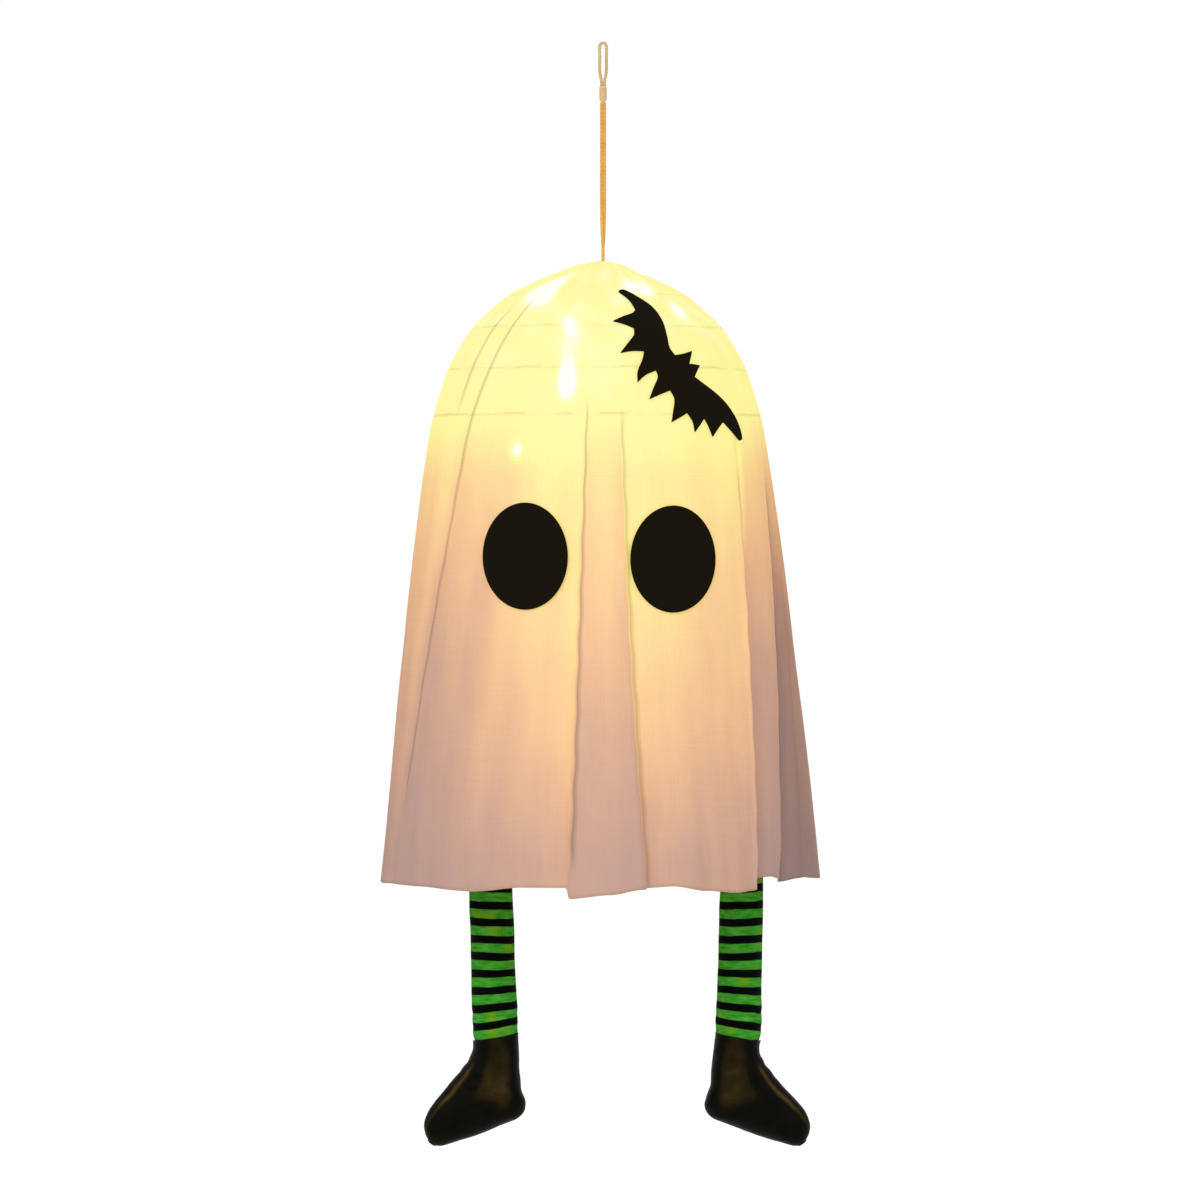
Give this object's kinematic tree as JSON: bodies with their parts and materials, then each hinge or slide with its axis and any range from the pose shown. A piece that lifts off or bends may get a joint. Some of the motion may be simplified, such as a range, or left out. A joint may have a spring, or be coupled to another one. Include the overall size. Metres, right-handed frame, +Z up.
{
  "type": "hanging ghost decoration",
  "caption": "Sheet ghost draped over a lit round paper lantern, hung on a twine loop, with felt face patches and two stuffed striped legs in black boots.",
  "frame": {"origin": "inside top of the hanging loop, where it bears on a hook", "axes": "+Z up along the cord, the face looks along -Y, +X to the viewer's right"},
  "size_m": [0.3457, 0.35, 0.8717],
  "materials": {
    "twine": "twisted tan twine",
    "binding": "pale thread wound round the twine",
    "sheet_cloth": "thin matt off-white polyester cloth, lit warm from inside",
    "black_felt": "matt black felt",
    "lantern_paper": "thin white lantern paper",
    "lantern_wire": "bare steel wire",
    "copper_wire": "lacquered copper wire with clear light beads",
    "white_plastic": "matt white moulded plastic",
    "coin_steel": "nickel-plated steel cell",
    "contact_brass": "sprung brass strip",
    "black_plastic": "matt black moulded plastic",
    "tie_plastic": "white nylon tie",
    "thread_cord": "off-white cotton cord",
    "striped_fabric": "green and black striped soft knit",
    "boot_fabric": "black satin-coated fabric with a soft sheen",
    "filling": "white polyester fibre filling"
  },
  "bodies": {
    "hook_loop": {"hanging_loop": "twine"},
    "binding": {"loop_binding": "binding"},
    "cord": {"lower_cord": "twine"},
    "ghost": {"ghost_cloth": "sheet_cloth", "left_eye": "black_felt", "right_eye": "black_felt", "bat_patch": "black_felt", "lantern_paper": "lantern_paper", "top_ring": "lantern_wire", "bottom_ring": "lantern_wire", "rib_1": "lantern_wire", "rib_2": "lantern_wire", "rib_3": "lantern_wire", "rib_4": "lantern_wire", "rib_5": "lantern_wire", "rib_6": "lantern_wire", "rib_7": "lantern_wire", "expander_wire": "lantern_wire", "led_string": "copper_wire", "battery_case": "white_plastic", "coin_cell_back": "coin_steel", "coin_cell_front": "coin_steel", "contact_back": "contact_brass", "contact_side": "contact_brass", "cable_tie": "tie_plastic"},
    "lid": {"battery_lid": "white_plastic"},
    "switch": {"switch_slider": "black_plastic"},
    "left_hanger": {"left_leg_cord": "thread_cord"},
    "left_leg": {"left_leg_tab": "thread_cord", "left_stocking": "striped_fabric", "left_boot": "boot_fabric", "left_stuffing": "filling"},
    "right_hanger": {"right_leg_cord": "thread_cord"},
    "right_leg": {"right_leg_tab": "thread_cord", "right_stocking": "striped_fabric", "right_boot": "boot_fabric", "right_stuffing": "filling"}
  },
  "joints": [
    {"name": "cord_twist", "type": "hinge", "parent": "hook_loop", "child": "binding", "pos_m": [0, 0, -0.033], "axis": [0, 0, 1], "range_deg": [-180, 180]},
    {"name": "side_sway", "type": "hinge", "parent": "binding", "child": "cord", "pos_m": [0, 0, -0.0426], "axis": [0, 1, 0], "range_deg": [-20, 20]},
    {"name": "front_swing", "type": "hinge", "parent": "cord", "child": "ghost", "pos_m": [0, 0, -0.18003], "axis": [1, 0, 0], "range_deg": [-12, 12]},
    {"name": "lid_slide", "type": "slide", "parent": "ghost", "child": "lid", "axis": [-1, 0, 0], "range_m": [0, 0.028]},
    {"name": "switch_slide", "type": "slide", "parent": "ghost", "child": "switch", "axis": [1, 0, 0], "range_m": [-0.002, 0.002]},
    {"name": "left_leg_side", "type": "hinge", "parent": "ghost", "child": "left_hanger", "pos_m": [-0.08897, 0, -0.39374], "axis": [0, 1, 0], "range_deg": [-6, 6]},
    {"name": "left_leg_front", "type": "hinge", "parent": "left_hanger", "child": "left_leg", "pos_m": [-0.0922, 0, -0.5552], "axis": [1, 0, 0], "range_deg": [-25, 25]},
    {"name": "right_leg_side", "type": "hinge", "parent": "ghost", "child": "right_hanger", "pos_m": [0.10223, 0, -0.36499], "axis": [0, 1, 0], "range_deg": [-5, 6]},
    {"name": "right_leg_front", "type": "hinge", "parent": "right_hanger", "child": "right_leg", "pos_m": [0.112, 0, -0.5552], "axis": [1, 0, 0], "range_deg": [-25, 25]}
  ]
}
